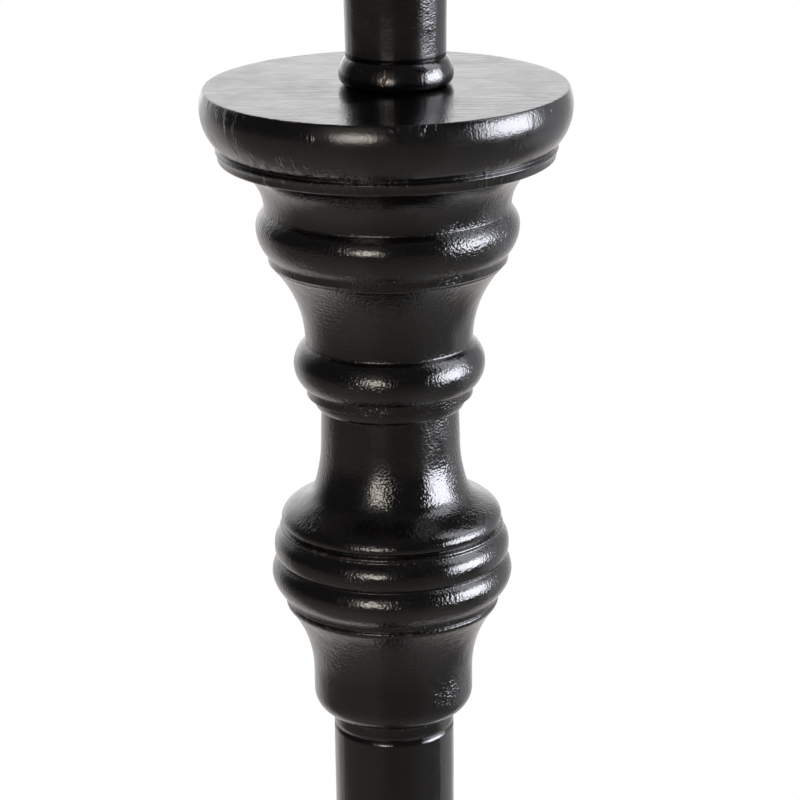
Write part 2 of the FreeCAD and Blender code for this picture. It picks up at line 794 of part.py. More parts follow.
def lamp_pipe():
    """Two lengths of pipe, joined in the knop, that clamp the stem between the nuts."""
    foot_level = total(FOOT_Z, "recess_depth - washer_thick - nut_thick - pipe_below_nut")
    joint = total(KNOP_Z, "(" + height(KNOP) + ") / 2")
    lower_len = "%s - (%s) - pipe_gap / 2" % (joint, foot_level)
    upper_len = "%s + collar_len - (%s) - pipe_gap / 2" % (SOCKET_Z, joint)
    upper_at = on_axis(total(joint, "pipe_gap / 2"))
    sleeve("threaded_rod_lower", on_axis(foot_level), "pipe_rad", "pipe_bore_rad", lower_len)
    sleeve("threaded_rod_upper", upper_at, "pipe_rad", "pipe_bore_rad", upper_len)
    coupler_at = on_axis(joint + " - coupler_len / 2")
    sleeve("rod_coupler", coupler_at, "coupler_rad", "pipe_rad + run_gap", "coupler_len")
    washer_at = on_axis(total(FOOT_Z, "recess_depth - washer_thick"))
    sleeve("base_washer", washer_at, "washer_rad", "pipe_rad + run_gap", "washer_thick")
    hex_nut("base_nut", total(FOOT_Z, "recess_depth - washer_thick - nut_thick"), "nut_thick")
    hex_nut("lock_nut", LOCK_NUT_Z, "lock_nut_thick")


def tube_cap():
    """Domed disc that closes the candle tube and centres on the pipe."""
    outer = [(None, "0", "cap_rad - cap_edge / 2"),
             (TO_UPRIGHT, "cap_edge / 2", "cap_rad"),
             (FROM_UPRIGHT, "cap_edge / 2", "cap_rad - cap_edge / 2"),
             (LINE, "cap_dome", "cap_top_rad")]
    inner = [("pipe_rad + run_gap", height(outer)), ("pipe_rad + run_gap", "0")]
    turned("tube_cap", on_axis(CAP_Z), outer, inner)


# ---------------------------------------------------------------------------------------------
# Socket, switch and bulb
# ---------------------------------------------------------------------------------------------

SCREW_RAD = "bulb_rad + run_gap + screw_wall"
LINER_RAD = SCREW_RAD + " + liner_room + liner_wall"
SHELL_RAD = LINER_RAD + " + shell_nest + shell_wall"
SOCKET_CAP_RAD = SHELL_RAD + " + shell_nest + shell_wall"
CUP_Z = total(SOCKET_Z, "collar_len", "dome_height")
CORE_Z = total(CUP_Z, "core_foot")
SCREW_Z = total(CORE_Z, "core_len")
STEM_Z = total(CORE_Z, "stem_height")
CONTACT_Z = SCREW_Z
BULB_Z = total(CONTACT_Z, "contact_thick")


def switch_hole(body, level, radius):
    """Round hole through the front wall for the switch stem."""
    sketch = new_sketch(body, "XZ_Plane", "switch_hole")
    circle(sketch, radius, "0", level)
    doc.recompute()
    pocket(body, sketch, SOCKET_CAP_RAD, reverse=True)


def socket_cap():
    """Spun cap: collar on the pipe, dome and skirt round the shell's foot."""
    outer = [(None, "0", "collar_rad"),
             (LINE, "collar_len", "collar_rad"),
             (TO_UPRIGHT, "dome_height", SOCKET_CAP_RAD),
             (LINE, "cap_skirt", SOCKET_CAP_RAD)]
    lip = SOCKET_CAP_RAD + " - shell_wall"
    inner = [(lip, height(outer)),
             (lip, "collar_len + dome_height"),
             ("collar_rad", "collar_len + shell_wall * 2"),
             ("pipe_rad + run_gap", "collar_len + shell_wall"),
             ("pipe_rad + run_gap", "0")]
    turned("socket_cap", on_axis(SOCKET_Z), outer, inner)


def socket_sleeves():
    """Brass shell, its insulating liner and the screw shell for the bulb."""
    shell = sleeve("socket_shell", on_axis(CUP_Z), SHELL_RAD, SHELL_RAD + " - shell_wall", "shell_len")
    liner = sleeve("socket_liner", on_axis(CUP_Z), LINER_RAD, LINER_RAD + " - liner_wall", "shell_len")
    doc.recompute()
    for body in (shell, liner):
        switch_hole(body, "core_foot + stem_height", "switch_hole_rad")
    sleeve("screw_shell", on_axis(SCREW_Z), SCREW_RAD, SCREW_RAD + " - screw_wall", "screw_len")


def socket_core():
    """Moulded block that holds the switch, standing on a foot in the cap."""
    outer = [(None, "0", "collar_rad"),
             (LINE, "core_foot", "collar_rad"),
             (LINE, "core_foot", LINER_RAD + " - liner_wall - shell_nest"),
             (LINE, "core_len - core_foot * 2", LINER_RAD + " - liner_wall - shell_nest")]
    inner = [("pipe_bore_rad", height(outer)), ("pipe_bore_rad", "0")]
    body = turned("socket_core", on_axis(CORE_Z), outer, inner)
    doc.recompute()
    switch_hole(body, "stem_height", "stem_rad + run_gap")


def centre_contact():
    """Contact disc on the core, under the bulb's tip."""
    body = new_body("centre_contact", on_axis(CONTACT_Z))
    sketch = new_sketch(body, "XY_Plane", "outline")
    circle(sketch, "contact_rad")
    pad(body, sketch, "contact_thick")


def switch():
    """Stem that turns in the core, with its knob outside the shell, at the front."""
    forward = FreeCAD.Rotation(FreeCAD.Vector(1, 0, 0), 90)
    shaft = [(None, "0", "stem_rad"), (LINE, "stem_out + %s - stem_depth" % SHELL_RAD, "stem_rad")]
    turned("switch_stem", ("0", "-stem_depth", STEM_Z), shaft, [("0", height(shaft)), ("0", "0")], forward)
    knob = [(None, "0", "knob_rad - knob_round"),
            (TO_UPRIGHT, "knob_round", "knob_rad"),
            (LINE, "knob_len - knob_round * 2", "knob_rad"),
            (FROM_UPRIGHT, "knob_round", "knob_rad - knob_round")]
    inner = [("0", "knob_len"), ("0", "knob_bite"), ("stem_rad", "knob_bite"), ("stem_rad", "0")]
    at = ("0", "knob_bite - stem_out - (%s)" % SHELL_RAD, STEM_Z)
    body = turned("switch_knob", at, knob, inner, forward)
    doc.recompute()
    dish = new_sketch(body, "YZ_Plane", "dish")
    circle(dish, "knob_rad", "knob_rad + knob_wing_half", "knob_len")
    doc.recompute()
    ring_of(body, pocket(body, dish), "2")


def bulb():
    """Screw base, tip and a pear-shaped glass open at its throat."""
    tip = [(None, "0", "tip_rad - tip_height"), (LINE, "tip_height", "tip_rad")]
    turned("bulb_contact", on_axis(BULB_Z), tip, [("0", "tip_height"), ("0", "0")])
    outer = [(None, "0", "tip_rad"),
             (LINE, "base_cone", "bulb_rad"),
             (LINE, "base_len", "bulb_rad")]
    lip = "bulb_rad - base_wall"
    inner = [(lip, height(outer)), (lip, "base_cone + base_len - base_cup"), ("0", "base_cone + base_len - base_cup"),
             ("0", "0")]
    base_z = total(BULB_Z, "tip_height")
    turned("bulb_base", on_axis(base_z), outer, inner)
    body = new_body("bulb_glass", on_axis(total(base_z, "base_cone + base_len - base_cup")))
    sketch = new_sketch(body, "XZ_Plane", "outline")
    throat = lip + " - shell_nest"
    lower = "glass_throat"
    belly = "glass_throat + glass_shoulder"
    outside = [(throat, "0"), (throat, lower)]
    middle = "(%s + glass_rad) / 2" % throat
    outside += [(middle, lower + " + glass_shoulder / 2"), ("glass_rad", belly), ("0", belly + " + glass_rad")]
    inside = [("0", belly + " + glass_rad - glass_wall"), ("glass_rad - glass_wall", belly),
              (middle + " - glass_wall", lower + " + glass_shoulder / 2"), (throat + " - glass_wall", lower),
              (throat + " - glass_wall", "0")]
    shapes = [LINE, FROM_UPRIGHT, TO_UPRIGHT, FROM_UPRIGHT, LINE, TO_UPRIGHT, FROM_UPRIGHT, TO_UPRIGHT, LINE, LINE]
    draw(sketch, outside + inside, shapes)
    revolve(body, sketch)


# ---------------------------------------------------------------------------------------------
# Harp
# ---------------------------------------------------------------------------------------------

LEG = "saddle_half - saddle_thick / 2"
ARM_TOP_Z = total(SADDLE_Z, "saddle_rise")
HARP_Z = total(ARM_TOP_Z, "pin_len", "harp_gap")
HARP_TOP = "harp_foot + harp_flare + harp_side + harp_shoulder"
BOSS_TOP_Z = total(HARP_Z, HARP_TOP, "harp_boss_thick / 2")


def harp_saddle():
    """Strip bent up at both ends, with a pin on each arm for the harp's legs."""
    body = new_body("harp_saddle", on_axis(SADDLE_Z))
    sketch = new_sketch(body, "XZ_Plane", "strip")
    inside = "saddle_half - saddle_thick"
    points = [("saddle_half", "0"), ("saddle_half", "saddle_rise"), (inside, "saddle_rise"), (inside, "saddle_thick"),
              ("-(%s)" % inside, "saddle_thick"), ("-(%s)" % inside, "saddle_rise"), ("-saddle_half", "saddle_rise"),
              ("-saddle_half", "0")]
    draw(sketch, points, [LINE] * len(points))
    pad(body, sketch, "saddle_width", both_ways=True)
    pins = new_sketch(body, "XY_Plane", "pins", "saddle_rise")
    for side in ("", "-"):
        circle(pins, "wire_rad", "%s(%s)" % (side, LEG))
    pad(body, pins, "pin_len")
    doc.recompute()
    hole = new_sketch(body, "XY_Plane", "pipe_hole")
    circle(hole, "pipe_rad + run_gap")
    doc.recompute()
    pocket(body, hole)


def harp():
    """Wire loop round the bulb, with a boss at its top for the stud."""
    body = new_body("harp", on_axis(HARP_Z))
    path = new_sketch(body, "XZ_Plane", "path")
    middle = "(%s + harp_half) / 2" % LEG
    shoulder = "harp_half - harp_shoulder"
    right = [(LEG, "0"), (LEG, "harp_foot"), (middle, "harp_foot + harp_flare / 2"),
             ("harp_half", "harp_foot + harp_flare"), ("harp_half", "harp_foot + harp_flare + harp_side"),
             (shoulder, HARP_TOP)]
    left = [("-(%s)" % across, up) for across, up in reversed(right)]
    shapes = [LINE, FROM_UPRIGHT, TO_UPRIGHT, LINE, FROM_UPRIGHT]
    back = [TO_UPRIGHT, LINE, FROM_UPRIGHT, TO_UPRIGHT, LINE]
    draw(path, right + left, shapes + [LINE] + back, closed=False)
    wire = new_sketch(body, "XY_Plane", "wire")
    circle(wire, "wire_rad", LEG)
    doc.recompute()
    pipe = body.newObject("PartDesign::AdditivePipe", "harp_wire")
    pipe.Profile = wire
    pipe.Spine = (path, [])
    pipe.Mode = "Frenet"
    boss = new_sketch(body, "XY_Plane", "boss", HARP_TOP)
    circle(boss, "harp_boss_rad")
    pad(body, boss, "harp_boss_thick", both_ways=True)
    doc.recompute()
    hole = new_sketch(body, "XY_Plane", "stud_hole", HARP_TOP)
    circle(hole, "stud_pin_rad + run_gap")
    doc.recompute()
    pocket(body, hole)


def harp_sleeves():
    """Sleeves over the joints between the saddle's pins and the harp's legs."""
    for name, side in (("harp_sleeve_left", "-"), ("harp_sleeve_right", "")):
        at = ("%s(%s)" % (side, LEG), "0", ARM_TOP_Z)
        sleeve(name, at, "wire_rad + run_gap + sleeve_wall", "wire_rad + run_gap", "sleeve_len")


def harp_stud():
    """Swivel stud: head under the boss, pin, flange and threaded post."""
    grip = "harp_boss_thick + stud_float * 2"
    head = "stud_head_thick"
    flange = total(head, grip)
    post = total(flange, "stud_flange_thick")
    top = total(post, "stud_post_len")
    body = new_body("harp_stud", on_axis(BOSS_TOP_Z + " - harp_boss_thick - stud_float - stud_head_thick"))
    sketch = new_sketch(body, "XZ_Plane", "outline")
    points = [("0", "0"), ("stud_head_rad", "0"), ("stud_head_rad", head), ("stud_pin_rad", head),
              ("stud_pin_rad", flange), ("stud_flange_rad", flange), ("stud_flange_rad", post),
              ("stud_post_rad", post), ("stud_post_rad", top), ("0", top)]
    draw(sketch, points, [LINE] * len(points))
    revolve(body, sketch)


# ---------------------------------------------------------------------------------------------
# Shade and finial
# ---------------------------------------------------------------------------------------------

HUB_Z = total(BOSS_TOP_Z, "stud_float + stud_flange_thick")
TOP_RING_Z = total(HUB_Z, "hub_thick / 2", "spoke_drop")
SHADE_Z = total(TOP_RING_Z, "shade_ring_in - shade_height")
SHADE_SLOPE = "(shade_foot_rad - shade_top_rad) / shade_height"
TOP_RING_RAD = "shade_top_rad + shade_ring_in * %s - shade_wall - ring_wire_rad - seat_gap" % SHADE_SLOPE
FOOT_RING_RAD = "shade_foot_rad - shade_ring_in * %s - shade_wall - ring_wire_rad - seat_gap" % SHADE_SLOPE


def wire_ring(name, level, radius):
    """A ring of round wire."""
    ring = doc.addObject("Part::Torus", name)
    ring.Label = name
    ring.setExpression("Radius1", bound(radius))
    ring.setExpression("Radius2", bound("ring_wire_rad"))
    ring.setExpression("Placement.Base.z", bound(level))
    PARTS.append(ring)


def shade_fabric():
    """Tapered drum, open at both ends."""
    outer = [(None, "0", "shade_foot_rad"), (LINE, "shade_height", "shade_top_rad")]
    inner = [("shade_top_rad - shade_wall", "shade_height"), ("shade_foot_rad - shade_wall", "0")]
    turned("shade_fabric", on_axis(SHADE_Z), outer, inner)


def shade_spider():
    """Top ring, spokes that rise to it, and a hub that drops over the stud."""
    body = new_body("shade_spider", on_axis(HUB_Z))
    hub = new_sketch(body, "XY_Plane", "hub")
    circle(hub, "hub_rad")
    pad(body, hub, "hub_thick")
    ring = new_sketch(body, "XZ_Plane", "ring")
    circle(ring, "ring_wire_rad", TOP_RING_RAD, "hub_thick / 2 + spoke_drop")
    doc.recompute()
    revolve(body, ring)
    path = new_sketch(body, "XZ_Plane", "path")
    inside = "(hub_rad + stud_post_rad) / 2"
    points = [(inside, "hub_thick / 2"), ("hub_rad + ring_wire_rad", "hub_thick / 2"),
              (TOP_RING_RAD, "hub_thick / 2 + spoke_drop")]
    draw(path, points, [LINE, LINE], closed=False)
    wire = new_sketch(body, "YZ_Plane", "wire", inside)
    circle(wire, "ring_wire_rad", "0", "hub_thick / 2")
    doc.recompute()
    spoke = body.newObject("PartDesign::AdditivePipe", "spoke")
    spoke.Profile = wire
    spoke.Spine = (path, [])
    spoke.Transition = "Round corner"
    doc.recompute()
    ring_of(body, spoke, "spoke_count")
    doc.recompute()
    hole = new_sketch(body, "XY_Plane", "post_hole")
    circle(hole, "stud_post_rad + run_gap")
    doc.recompute()
    pocket(body, hole)


def finial():
    """Turned knob that screws onto the stud's post."""
    outer = [(None, "0", "finial_foot_rad"),
             (LINE, "finial_foot_height", "finial_foot_rad"),
             (TO_UPRIGHT, "finial_cove_height", "finial_neck_rad"),
             (LINE, "finial_foot_height / 2", "finial_neck_rad"),
             (TO_UPRIGHT, "finial_knob_rise", "finial_knob_rad"),
             (FROM_UPRIGHT, "finial_knob_rad", "0")]
    depth = "stud_post_len - hub_thick + finial_bore_end"
    inner = [("0", depth), ("stud_post_rad + run_gap", depth), ("stud_post_rad + run_gap", "0")]
    turned("finial", on_axis(total(HUB_Z, "hub_thick")), outer, inner)


# ---------------------------------------------------------------------------------------------
# The whole lamp
# ---------------------------------------------------------------------------------------------

felt_pad()
base_foot()
base_weight()
weight_screws()
cord_bushing()
stem()
candle()
lamp_pipe()
tube_cap()
harp_saddle()
socket_cap()
socket_sleeves()
socket_core()
centre_contact()
switch()
bulb()
harp()
harp_sleeves()
harp_stud()
shade_fabric()
shade_spider()
wire_ring("shade_bottom_ring", total(SHADE_Z, "shade_ring_in"), FOOT_RING_RAD)
finial()
doc.recompute()

for item in doc.Objects:
    if "Invalid" in item.State or "Error" in item.State:
        raise RuntimeError("%s has failed" % item.Name)
for item in PARTS:
    if item.Shape.isNull() or not item.Shape.isValid():
        raise RuntimeError("%s has no valid shape" % item.Label)

os.makedirs("parts", exist_ok=True)
for item in PARTS:
    item.Shape.exportStep("parts/%s.step" % item.Label)
    box = item.Shape.BoundBox
    print("%-20s z %8.2f to %8.2f  solids %d  volume %.0f"
          % (item.Label, box.ZMin, box.ZMax, len(item.Shape.Solids), item.Shape.Volume))
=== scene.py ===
"""Looks of the candlestick floor lamp, round its CAD frame. Metres, +Z up, the front is -Y."""

import math

import bpy
from mathutils import Matrix, Vector, noise


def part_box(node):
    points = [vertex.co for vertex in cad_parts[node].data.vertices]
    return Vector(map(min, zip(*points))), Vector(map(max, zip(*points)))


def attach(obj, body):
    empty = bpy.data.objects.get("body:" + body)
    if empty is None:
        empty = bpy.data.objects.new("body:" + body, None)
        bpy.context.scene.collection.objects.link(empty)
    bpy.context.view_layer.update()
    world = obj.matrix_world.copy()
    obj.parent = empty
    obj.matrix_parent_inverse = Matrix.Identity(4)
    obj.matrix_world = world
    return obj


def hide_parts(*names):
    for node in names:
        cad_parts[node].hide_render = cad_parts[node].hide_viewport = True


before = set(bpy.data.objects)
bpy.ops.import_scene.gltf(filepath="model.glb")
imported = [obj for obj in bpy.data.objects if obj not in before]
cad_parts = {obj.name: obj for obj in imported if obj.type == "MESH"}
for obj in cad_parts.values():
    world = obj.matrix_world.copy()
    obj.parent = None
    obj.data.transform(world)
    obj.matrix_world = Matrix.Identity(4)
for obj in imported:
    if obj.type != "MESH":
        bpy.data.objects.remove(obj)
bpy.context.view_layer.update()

MM = 0.001

# ---------------------------------------------------------------------------------------------
# Outlines
# ---------------------------------------------------------------------------------------------

FINE_STEP = 0.2 * MM            # spacing at which an outline is softened
CORNER = math.radians(20)       # a sharper turn is an edge that stays
SOFTENING = 4                   # passes that round an edge as lacquer does
STRAIGHT_SHARE = 2.5            # a stretch this much longer than the next is straight
ROW_TURN = math.radians(7)      # most that an outline turns between two rows
BEND_FULL = 0.9 / MM            # curvature at which an edge counts as fully sharp


def outline(node, inside, axis=(0.0, 0.0)):
    """Outer outline of a turned CAD node as radius and level, from foot to head."""
    widest = {}
    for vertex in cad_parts[node].data.vertices:
        radius = math.hypot(vertex.co.x - axis[0], vertex.co.y - axis[1])
        if radius > inside:
            level = round(vertex.co.z, 5)
            widest[level] = max(radius, widest.get(level, 0.0))
    return [(radius, level) for level, radius in sorted(widest.items())]


def ramp(travelled, length):
    """Share of a way of this length, from 0 to 1."""
    return min(1.0, max(0.0, travelled / length))


def wrapped(angle):
    """The angle between -pi and pi."""
    return (angle + math.pi) % (2 * math.pi) - math.pi


def tangent(before, after):
    """Heading of a smooth curve where two chords (length, heading) meet."""
    if before[0] > STRAIGHT_SHARE * after[0]:
        return before[1]
    if after[0] > STRAIGHT_SHARE * before[0]:
        return after[1]
    share = before[0] / (before[0] + after[0])
    return before[1] + wrapped(after[1] - before[1]) * share


def curved(points, corner=CORNER):
    """Evenly spaced points on the curve through an outline, which keeps its corners."""
    chords = [(math.dist(a, b), math.atan2(b[1] - a[1], b[0] - a[0]))
              for a, b in zip(points, points[1:])]
    meetings = [None]
    for before, after in zip(chords, chords[1:]):
        sharp = abs(wrapped(after[1] - before[1])) > corner
        meetings.append(None if sharp else tangent(before, after))
    meetings.append(None)
    fine = []
    for index, (length, heading) in enumerate(chords):
        start, end = meetings[index], meetings[index + 1]
        if start is None:
            start = heading if end is None else heading - wrapped(end - heading)
        if end is None:
            end = heading - wrapped(start - heading)
        a, b = Vector(points[index]), Vector(points[index + 1])
        leave = Vector((math.cos(start), math.sin(start))) * length
        reach = Vector((math.cos(end), math.sin(end))) * length
        count = max(1, round(length / FINE_STEP))
        for step in range(count):
            t = step / count
            fine.append(a * (1 + 2 * t) * (1 - t) ** 2 + leave * t * (1 - t) ** 2
                        + b * t * t * (3 - 2 * t) - reach * t * t * (1 - t))
    return fine + [Vector(points[-1])]


def softened(fine):
    """The same line with its corners rounded a little, as by coats of lacquer."""
    for _ in range(SOFTENING):
        fine = ([fine[0]]
                + [(a + b * 2 + c) / 4 for a, b, c in zip(fine, fine[1:], fine[2:])]
                + [fine[-1]])
    return fine


def rows_of(fine, longest):
    """Rows for a lathe: radius, level and how sharply the outline bends there, + for an edge."""
    rows, travelled, turned = [], 0.0, 0.0
    for index, point in enumerate(fine):
        if 0 < index < len(fine) - 1:
            before, after = point - fine[index - 1], fine[index + 1] - point
            turn = wrapped(math.atan2(after.y, after.x) - math.atan2(before.y, before.x))
            bend = turn / max((before.length + after.length) / 2, 1e-9) / BEND_FULL
            travelled += before.length
            turned += abs(turn)
            if turned < ROW_TURN and travelled < longest:
                continue
        else:
            bend = 0.0
        rows.append((point.x, point.y, max(-1.0, min(1.0, bend))))
        travelled, turned = 0.0, 0.0
    return rows


# ---------------------------------------------------------------------------------------------
# Meshes
# ---------------------------------------------------------------------------------------------

def new_piece(name, vertices, faces, material, body, replaced=(), smooth=True):
    """A mesh object that rides on a body and stands for CAD nodes."""
    mesh = bpy.data.meshes.new(name)
    mesh.from_pydata(vertices, [], faces)
    mesh.validate()
    mesh.shade_smooth() if smooth else mesh.shade_flat()
    piece = bpy.data.objects.new(name, mesh)
    bpy.context.scene.collection.objects.link(piece)
    mesh.materials.append(material)
    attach(piece, body)
    if replaced:
        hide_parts(*replaced)
    return piece


def store(piece, name, values):
    """A number for each vertex, which a material reads by name."""
    attribute = piece.data.attributes.new(name, "FLOAT", "POINT")
    attribute.data.foreach_set("value", values)


def lathe(name, rows, bore, segments, material, relief=None, axis=(0.0, 0.0), body="root",
          replaced=()):
    """A turned piece as one closed skin, with flat ends where it has no bore.

    relief(place, bend) says how far the skin stands out at a place, given from the axis.
    """
    outline_rows = rows + [(bore, rows[-1][1], 0.0), (bore, rows[0][1], 0.0)] if bore else rows
    count = len(outline_rows)
    vertices, bends = [], []
    for index, (radius, level, bend) in enumerate(outline_rows):
        before, after = outline_rows[index - 1], outline_rows[(index + 1) % count]
        outward = Vector((after[1] - before[1], before[0] - after[0]))
        outward.normalize()
        outside = 0 < index < len(rows) - 1
        for step in range(segments):
            angle = 2 * math.pi * step / segments
            across, back = math.sin(angle), -math.cos(angle)
            out = relief(Vector((radius * across, radius * back, level)), bend) if relief and outside else 0.0
            wide = radius + outward.x * out
            vertices.append((axis[0] + wide * across, axis[1] + wide * back, level + outward.y * out))
            bends.append(bend)
    faces = [] if bore else [tuple(reversed(range(segments))),
                             tuple(range((count - 1) * segments, count * segments))]
    for index in range(count if bore else count - 1):
        low, high = index * segments, (index + 1) % count * segments
        for step in range(segments):
            after = (step + 1) % segments
            faces.append((low + step, low + after, high + after, high + step))
    piece = new_piece(name, vertices, faces, material, body, replaced)
    store(piece, "bend", bends)
    return piece


# ---------------------------------------------------------------------------------------------
# Materials
# ---------------------------------------------------------------------------------------------

class Look:
    """A material, or the world, put together from nodes."""

    def __init__(self, owner, output="ShaderNodeOutputMaterial"):
        owner.use_nodes = True
        self.tree = owner.node_tree
        self.tree.nodes.clear()
        self.output = self.tree.nodes.new(output)

    def add(self, kind, inputs=(), **settings):
        """A node of a kind, with its settings made and its inputs set or joined."""
        node = self.tree.nodes.new("ShaderNode" + kind)
        for key, value in settings.items():
            setattr(node, key, value)
        for key, value in dict(inputs).items():
            if isinstance(value, bpy.types.NodeSocket):
                self.tree.links.new(value, node.inputs[key])
            else:
                node.inputs[key].default_value = value
        return node

    def place(self, scale=(1, 1, 1)):
        """The place on the object, stretched."""
        coordinates = self.add("TexCoord").outputs["Object"]
        return self.add("Mapping", {"Vector": coordinates, "Scale": scale}).outputs[0]

    def noise(self, scale, detail=2.0, roughness=0.5, vector=None, distortion=0.0):
        """Noise from about 0.25 to 0.75."""
        return self.add("TexNoise", {"Vector": vector or self.place(), "Scale": scale, "Detail": detail,
                                     "Roughness": roughness, "Distortion": distortion}).outputs["Fac"]

    def math(self, operation, first, second=0.0, third=0.0, clamp=False):
        """A sum on numbers or sockets."""
        inputs = {0: first, 1: second, 2: third}
        return self.add("Math", inputs, operation=operation, use_clamp=clamp).outputs[0]

    def spread(self, value, low, high, to_low=0.0, to_high=1.0):
        """A range of a value, spread over another range."""
        return self.add("MapRange", {"Value": value, "From Min": low, "From Max": high, "To Min": to_low,
                                     "To Max": to_high}, interpolation_type="SMOOTHSTEP").outputs[0]

    def mix(self, share, first, second):
        """A colour between two."""
        return self.add("Mix", {"Factor": share, 6: first, 7: second}, data_type="RGBA").outputs[2]

    def stored(self, name):
        """A number stored on the mesh."""
        return self.add("Attribute", attribute_name=name).outputs["Fac"]

    def bump(self, height, depth, below=None):
        """A normal raised by a height from 0 to 1, depth metres deep."""
        inputs = {"Height": height, "Distance": depth, "Strength": 1.0}
        if below:
            inputs["Normal"] = below
        return self.add("Bump", inputs).outputs[0]

    def surface(self, colour, roughness, normal=None, **constants):
        """Joins a Principled shader to the output."""
        inputs = {"Base Color": colour, "Roughness": roughness}
        if normal:
            inputs["Normal"] = normal
        for key, value in constants.items():
            inputs[key.replace("_", " ")] = value
        shader = self.add("BsdfPrincipled", inputs).outputs[0]
        self.tree.links.new(shader, self.output.inputs["Surface"])
        return shader


def new_look(name):
    """A Look for a new material, and the material."""
    material = bpy.data.materials.new(name)
    return Look(material), material


def grey(value):
    """A neutral colour."""
    return (value, value, value, 1.0)


BLACK = (0.0017, 0.0015, 0.0014, 1.0)       # the lacquer
BROWN = (0.032, 0.018, 0.012, 1.0)          # where an edge is worn
RAW_WOOD = (0.14, 0.09, 0.065, 1.0)
# pale specks in the crevices: partly dust, partly painted glints on the seams
DUST_AND_GLINT = (0.30, 0.29, 0.28, 1.0)

SWELL = 0.10 * MM               # slow unevenness of the coat
SPECKLE = 0.085 * MM            # the spray's fine speckle
SPECKLE_PATCH = 0.17 * MM       # what its rough patches add
END_GRAIN = 0.26 * MM           # grooves in the edge of a plank
GRIT = 0.10 * MM                # dirt under the lacquer, in crevices


def lacquer(name, grain, ridges, marks, gloss=0.125, orange_peel=1.0, plank=False):
    """Satin black lacquer over turned wood.

    grain stretches the noise along the wood; ridges and marks are the depths of the grain and of
    the lathe's rings, in metres. orange_peel is the strength of the spray's fine speckle. On a plank
    turned flat, the edge shows end grain.
    """
    look, material = new_look(name)
    bend = look.stored("bend")
    edge = look.spread(bend, 0.25, 0.9)
    crevice = look.spread(bend, -0.15, -0.7)
    patches = look.spread(look.noise(32, 2), 0.38, 0.62)
    peel = look.noise(1150, 1.0, 0.5)
    swell = look.noise(150, 1.0)
    pores = look.spread(look.noise(1.0, 2.0, 0.6, look.place(grain)), 0.30, 0.70)
    rings = look.noise(1.0, 2.0, 0.6, look.place((9, 9, 1500)))
    grit = look.noise(2600, 1.0)
    speckle = look.math("MULTIPLY_ADD", patches, SPECKLE_PATCH * orange_peel, SPECKLE * orange_peel)
    normal = look.bump(peel, speckle, look.bump(swell, SWELL))
    if plank:
        facing = look.add("SeparateXYZ", {0: look.add("NewGeometry").outputs["Normal"]}).outputs["Z"]
        flat = look.spread(facing, 0.5, 0.9)
        on_edge = look.math("SUBTRACT", 1.0, flat)
        grooves = look.spread(look.noise(1.0, 2.0, 0.6, look.place((620, 620, 40))), 0.50, 0.75)
        clusters = look.spread(look.noise(45, 2), 0.48, 0.64)
        normal = look.bump(look.math("MULTIPLY", grooves, clusters),
                           look.math("MULTIPLY", on_edge, END_GRAIN), normal)
        stretches = look.spread(look.noise(24, 2), 0.35, 0.70)
        ridges = look.math("MULTIPLY", look.math("MULTIPLY", flat, stretches), ridges)
    normal = look.bump(pores, ridges, normal)
    normal = look.bump(rings, look.math("MULTIPLY", patches, marks), normal)
    normal = look.bump(grit, look.math("MULTIPLY", crevice, GRIT), normal)
    worn = look.math("MULTIPLY", edge, look.spread(look.noise(210, 3, 0.7), 0.56, 0.66))
    colour = look.mix(worn, BLACK, BROWN)
    colour = look.mix(look.stored("crack"), colour, RAW_WOOD)
    # pale specks in the crevices, partly dust and partly painted glints on the seams
    glint_and_dust_specks = look.math("MULTIPLY", crevice, look.spread(look.noise(1300, 2, 0.6), 0.66, 0.74))
    colour = look.mix(look.math("MULTIPLY", glint_and_dust_specks, 0.6), colour, DUST_AND_GLINT)
    rough = look.spread(look.noise(60, 4, 0.65), 0.30, 0.70, gloss - 0.03, gloss + 0.07)
    look.surface(colour, rough, normal, IOR=1.8)
    return material


def metal(name, colour, stain, rough, grain, scratch):
    """A metal with faint stains and fine marks that run as grain stretches them."""
    look, material = new_look(name)
    clouds = look.spread(look.noise(70, 4, 0.65), 0.32, 0.70)
    marks = look.noise(1.0, 3.0, 0.7, look.place(grain))
    shade = look.mix(look.math("MULTIPLY", clouds, 0.55), colour, stain)
    roughness = look.math("ADD", look.spread(clouds, 0.0, 1.0, rough - 0.05, rough + 0.09),
                          look.spread(marks, 0.3, 0.7, -0.03, 0.05))
    normal = look.bump(marks, scratch, look.bump(look.noise(420, 2), 0.01 * MM))
    look.surface(shade, roughness, normal, Metallic=1.0)
    return material


def moulded(name, colour, fleck, rough, grain, depth):
    """A plastic, card or casting with a fine texture, grain to the metre and depth deep."""
    look, material = new_look(name)
    texture = look.noise(grain, 3, 0.6)
    clouds = look.spread(look.noise(grain / 9, 4, 0.6), 0.35, 0.68)
    shade = look.mix(look.math("MULTIPLY", clouds, 0.7), colour, fleck)
    look.surface(shade, look.spread(texture, 0.3, 0.7, rough - 0.06, rough + 0.06),
                 look.bump(texture, depth))
    return material


def felt():
    """Wool felt: matted fibres."""
    look, material = new_look("felt")
    fibres = look.noise(900, 4, 0.75, distortion=1.5)
    colour = look.mix(look.spread(fibres, 0.3, 0.7), (0.022, 0.040, 0.028, 1), (0.075, 0.115, 0.085, 1))
    look.surface(colour, 0.95, look.bump(fibres, 0.5 * MM),
                 **{"Sheen Weight": 0.4, "Sheen Roughness": 0.5})
    return material


def opal_glass():
    """Bulb glass coated white inside."""
    look, material = new_look("opal_glass")
    clouds = look.noise(40, 2)
    colour = look.mix(clouds, (0.90, 0.89, 0.86, 1), (0.94, 0.93, 0.90, 1))
    look.surface(colour, look.spread(clouds, 0.3, 0.7, 0.16, 0.24),
                 look.bump(look.noise(90, 1), 0.05 * MM),
                 **{"Coat Weight": 0.5, "Coat Roughness": 0.06})
    return material


GLASS_EDGE = (2.4 * MM, 2.6 * MM)       # glass below, metal above, from the cap's foot


